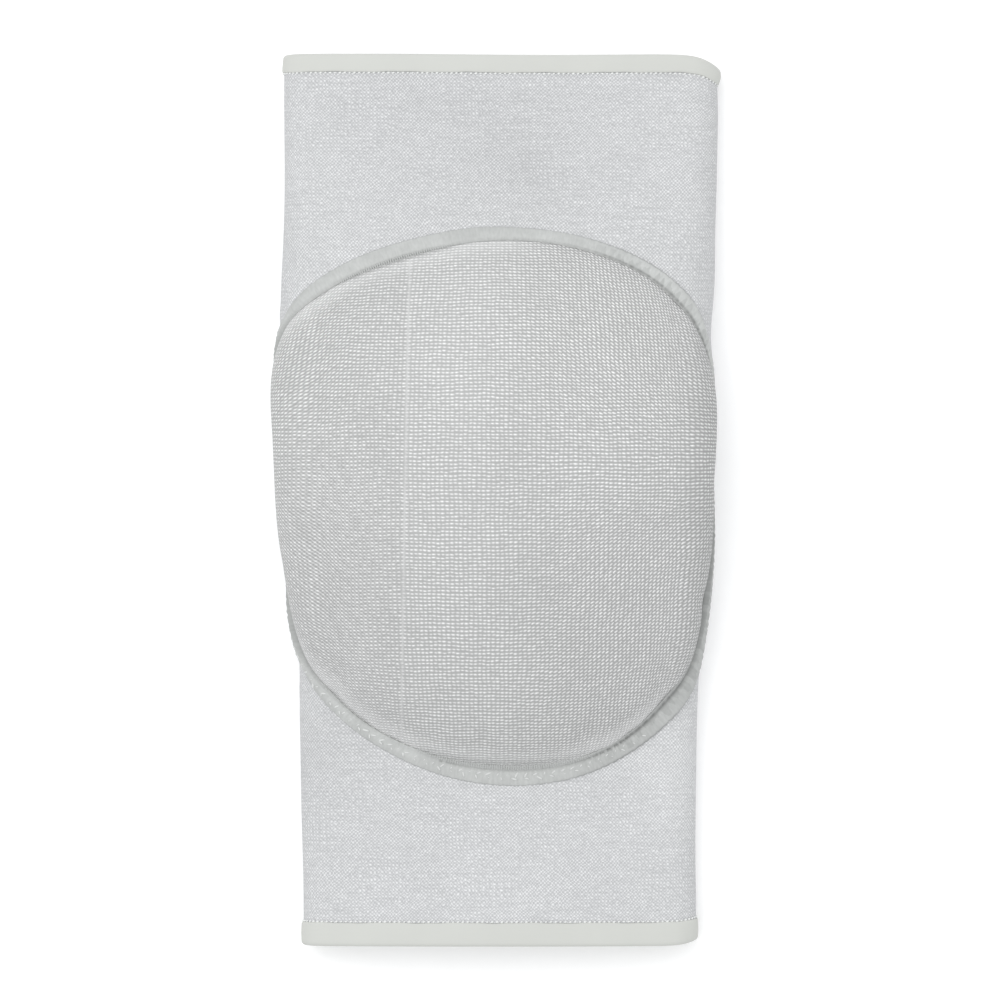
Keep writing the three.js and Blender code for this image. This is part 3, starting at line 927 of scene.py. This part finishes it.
def cover_material():
    material, tree, shader = new_material("cover knit", 0.9)
    spot = object_place(tree)
    x, y, _ = millimetres(spot)
    to_right = span(x, -14, 34)
    to_left = span(x, -28, -58)
    to_calf = span(y, 45, -22, -1.0, 1.0)
    to_side = maths("SUBTRACT", to_left, to_right)
    turn = times(times(to_side, to_calf), 0.85)
    filled = times(span(x, -15, -50, 0.0, 0.45),
                   span(y, 30, -10, 0.35, 1.0))
    slim = span(maths("ABSOLUTE", turn), 0.1, 0.8, 0.25, 0.2)
    long = span(maths("ABSOLUTE", turn), 0.1, 0.8, 0.41, 0.5)
    loop, luck = knit_loops(tree, (1.17, 1.05), (long, slim), turn, 0.16, filled, 0.3)
    from_crease = maths("MULTIPLY_ADD", y, -0.018, x)
    crease = ridge(from_crease, CREASE_AT, 0.42)
    bright = times(loop, between(luck, 0.8, 1.2))
    # painted light: the loops are painted lighter on the left, as grazing light catches their tops
    bright = times(bright, span(x, -10, -50, 1.0, 1.06))
    # the crease: pressed smooth, so less shade between its loops, and painted light along its ridge
    bright = blend(times(crease, 0.55), bright, 0.5)
    # painted shade: the ground between the loops is painted darker on both sides, where light grazes the
    # stretched cloth
    sides = maths("MAXIMUM", to_right, span(x, -10, -50))
    ground = between(sides, (0.405, 0.407, 0.405), (0.36, 0.362, 0.36))
    # painted light: the ground at the rim is painted lighter on the left and at the shin end, to lift the
    # shade in the crease at the seam
    rim = node(tree, "ShaderNodeAttribute", out="Fac", attribute_name="rim")
    rim_light_side = maths("MAXIMUM", span(x, 22, -5),
                   span(y, -48, -64))
    ground = between(times(rim, rim_light_side), ground, (0.56, 0.562, 0.56))
    colour = tinted(
        between(bright, ground, (0.915, 0.917, 0.913)),
        # painted light right of the middle
        span(x, 5, 32, 1.0, 1.068),
        # painted shade towards the shin end, painted light towards the thigh end
        span(y, -45, 40, 0.965, 1.03),
        between(noise(spot, 35.0), 0.95, 1.05),
        # painted shade: the cover left of the crease is painted a little darker
        span(from_crease, CREASE_AT - 1, CREASE_AT + 1, 0.97, 1.0),
        # painted shade on the steep far right wall
        span(x, 47, 62, 1.0, 0.87),
    )
    height = maths("ADD", loop, times(crease, 0.6))
    finish_cloth(shader, colour, height, 0.25, between(loop, 0.95, 0.8))
    return material


# %% [markdown]
# ## The sleeve's finish
#
# The tube's knit is finer, and its ovals turn from patch to patch. A short table holds painted light and
# shade:
# places where the cloth is painted a touch lighter or darker.

# %% Sleeve knit
SLEEVE_PAINTED_SHADING = [
    {"across": -52, "along": -70, "wide": 14, "more": -0.06},
    {"across": 52, "along": -76, "wide": 18, "more": 0.07},
    {"across": 0, "along": -100, "wide": 30, "more": 0.03},
    {"across": -20, "along": 108, "wide": 30, "more": -0.03},
    {"across": 8, "along": 97, "wide": 14, "more": -0.07},
]


def sleeve_material():
    material, tree, shader = new_material("sleeve knit", 0.9)
    place = knit_place(tree)
    patches = noise(place, 60.0)
    turn = between(patches, -2.2, 2.2)
    filled = span(patches, 0.35, 0.65, 0.9, 0.45)
    loop, luck = knit_loops(tree, (1.04, 1.03), (0.36, 0.25), turn, 0.4, filled, 0.9)
    x, y, _ = millimetres(place)
    bright = times(loop, between(luck, 0.75, 1.25))
    colour = tinted(
        between(bright, (0.463, 0.468, 0.475), (0.792, 0.797, 0.802)),
        between(noise(place, 950.0, stretch=(0.08, 1, 1)), 0.9, 1.1),
        between(noise(place, 1500.0), 0.88, 1.12),
        between(noise(place, 28.0), 0.96, 1.04),
    )
    # painted light and shade, spot by spot from the table
    for spot in SLEEVE_PAINTED_SHADING:
        here = times(ridge(x, spot["across"], spot["wide"]),
                     ridge(y, spot["along"], spot["wide"]))
        colour = shaded(colour, here, spot["more"])
    # painted shade: a thin dark line in the knit along each hem's edge, in the groove where tape meets knit
    for size in HEMS.values():
        groove_shade_at = size["end"] * (TUBE_LENGTH / 2 - size["width"] - 0.35)
        colour = shaded(colour, ridge(y, groove_shade_at, 0.42), -0.04)
    finish_cloth(shader, colour, loop, 0.1, between(loop, 0.95, 0.82))
    return material


# %% [markdown]
# ## Tape, band and thread
#
# The tape is smooth, with faint ribs. The band is covered with thread, so its colour changes in fine
# streaks. On its right, painted shade darkens the creases along both edges, and teeth of painted shade show
# where the thread pulls the cloth in. The right side also has painted light towards the thigh and painted
# shade towards the shin.

# %% Tape, band and thread
def tape_material():
    material, tree, shader = new_material("hem tape", 0.85)
    place = knit_place(tree)
    ribs = noise(place, 1500.0, stretch=(0.05, 1, 1))
    blotches = noise(place, 60.0)
    colour = between(blotches, (0.567, 0.575, 0.545), (0.6, 0.609, 0.579))
    finish_cloth(shader, colour, ribs, 0.04, between(ribs, 0.8, 0.9))
    return material


def band_material():
    material, tree, shader = new_material("overlock band", 0.9)
    place = knit_place(tree)
    threads = noise(place, 1400.0, stretch=(1, 0.25, 1))
    blotches = noise(place, 90.0)
    colour = tinted(between(threads, (0.42, 0.43, 0.42), (0.58, 0.59, 0.58)),
                    between(blotches, 0.86, 1.14))
    _, out, _ = millimetres(place)
    x, y, _ = millimetres(object_place(tree))
    at_right = span(x, 15, 40)
    pulls = span(noise(place, 700.0, stretch=(1, 0, 1)), 0.4, 0.6, 0.4, 1.0)
    # painted shade in the creases along the band's inner and outer edges, on its right
    inner = times(ridge(out, -0.7, 0.5), pulls)
    outer = times(ridge(out, BAND_REACH, 0.4), 0.6)
    edges = times(maths("MAXIMUM", inner, outer), at_right)
    colour = shaded(colour, edges, -0.4)
    # painted shade in the notches where the thread pulls the cloth in
    lengths = noise(place, 480.0, stretch=(1, 0.25, 1))
    reach = span(lengths, 0.35, 0.65, -1.2, 3.2)
    teeth = span(maths("SUBTRACT", out, reach), 0.2, -0.2)
    colour = shaded(colour, times(teeth, at_right), -0.12)
    # painted light and shade on the band's right: lighter towards the thigh, darker towards the shin
    colour = shaded(colour, at_right, span(y, 40, -40, 0.05, -0.1))
    finish_cloth(shader, colour, threads, 0.08, between(threads, 0.85, 0.95))
    return material


def thread_material(name, colour):
    material, tree, shader = new_material(name, 0.75)
    fibres = noise(object_place(tree), 2500.0)
    low = tuple(c * 0.9 for c in colour)
    tone, roughness = between(fibres, low, colour), between(fibres, 0.7, 0.85)
    finish_cloth(shader, tone, fibres, 0.04, roughness)
    return material


sleeve_knit.data.materials.append(sleeve_material())
pad_cushion.data.materials.clear()
pad_cushion.data.materials.append(cover_material())
tape_cloth = tape_material()
thigh_tape.data.materials.append(tape_cloth)
calf_tape.data.materials.append(tape_cloth)
band.data.materials.append(band_material())
hem_thread = thread_material("hem thread", (0.84, 0.85, 0.84))
seam_thread = thread_material("overlock thread", (0.7, 0.71, 0.7))
wrap_thread = thread_material("wrap thread", (0.6, 0.61, 0.6))
print("materials:", [material.name for material in bpy.data.materials])

# %% [markdown]
# ## Sewing
#
# Each hem is stitched through near the tape's edge, so a row shows outside and another inside. On the left
# and at the shin end the seam band shows two rows of slanting thread, uneven like the loops of an overlock
# machine. Where the cover is gathered most, at the shin end and at the upper left, upright threads stand
# side by side on the lowest part of the wall.

# %% Sew the hems and the band
def tube_line(along, lift, count=900):
    """A line once round the tube, and the same line further out."""
    turn = np.linspace(-1, 1, count + 1)[:-1]
    across = turn * girth(np.full(count, along))
    return over_tube(across, along, lift), over_tube(across, along, lift + 0.5)


for name, size in HEMS.items():
    along = size["end"] * (TUBE_LENGTH / 2 - size["width"] - 0.22)
    for side, lift in (("", TAPE_LIFT), ("_inside", -TUBE_WALL - TAPE_LIFT)):
        sew(f"{name}_hem_stitches{side}", *tube_line(along, lift), hem_thread,
            Pitch=1.4 * MM, Length=0.9 * MM, Thickness=0.6 * MM, Slant=0.35, Unevenness=0.15)


def band_line(out, up, start, end, count=1200):
    """A line on the band from one way round the cushion to another, in degrees."""
    around = np.radians(np.linspace(start, end, count))
    even, length = even_outline(BAND_MIDDLE, BAND_COLUMNS)
    far = np.interp(around % math.tau, even, np.arange(BAND_COLUMNS) / BAND_COLUMNS * length)
    x, y, lift = band_surface(around, far, out, up)
    fullness = 0.72 + 0.28 * np.cos(around + math.radians(110))
    return over_tube(x, y, lift), over_tube(x, y, lift + 0.5), fullness


THREAD_ROWS = {
    "inner": {"out": 0.25, "up": 1.0, "start": -190, "end": -72,
              "pitch": 2.7, "length": 1.5, "thickness": 0.42, "slant": 0.75},
    "outer": {"out": 0.52, "up": 0.97, "start": -175, "end": -66,
              "pitch": 3.6, "length": 1.3, "thickness": 0.4, "slant": -0.7},
}
for name, row in THREAD_ROWS.items():
    line, above, fullness = band_line(row["out"], row["up"], row["start"], row["end"])
    sew(f"overlock_{name}", line, above, seam_thread, fullness, closed=False,
        Pitch=row["pitch"] * MM, Length=row["length"] * MM, Thickness=row["thickness"] * MM,
        Slant=row["slant"], Unevenness=0.6)


WRAP_POINTS = 500
WRAP_FOOT = 0.3
WRAP_TOP = 2.2


def wall_line(low_inset, high_inset, start, end):
    """A line on the dome's wall between two insets from the rim, and the same line further off the wall."""
    around = np.radians(np.linspace(start, end, WRAP_POINTS))
    low, high = (over_tube(*pad_place(around, 1.0, -inset).T,
                           COVER_LIFT + dome_height(around, 1 - inset / (PAD_LENGTH / 2)))
                 for inset in (low_inset, high_inset))
    off = np.cross(np.gradient(low, axis=0), high - low)
    off /= np.linalg.norm(off, axis=1, keepdims=True)
    off *= np.sign(off[:, 2:])
    line = (low + high) / 2 + off * FILLING_SWELL
    return line, line + off


fade = np.sin(np.linspace(0.35, math.pi - 0.35, WRAP_POINTS)) ** 0.5
for name, start, end, length in (("calf", -124, -82, 3.6), ("thigh", 91, 109, 2.6)):
    line, above = wall_line(WRAP_FOOT, WRAP_TOP, start, end)
    sew(f"overlock_wraps_{name}", line, above, wrap_thread, fade, closed=False, Pitch=0.66 * MM,
        Length=length * MM, Thickness=0.34 * MM, Slant=math.pi / 2, Unevenness=0.04)

# %% [markdown]
# ## Riding on the body
#
# Every piece is told which body it rides on.

# %% Riding
for piece, slot in ((sleeve_knit, "sleeve_knit"), (thigh_tape, "hem_tape"), (calf_tape, "hem_tape"),
                    (pad_cushion, "cover_knit"), (band, "overlock")):
    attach(piece, "root")
for piece in stitches:
    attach(piece, "root")
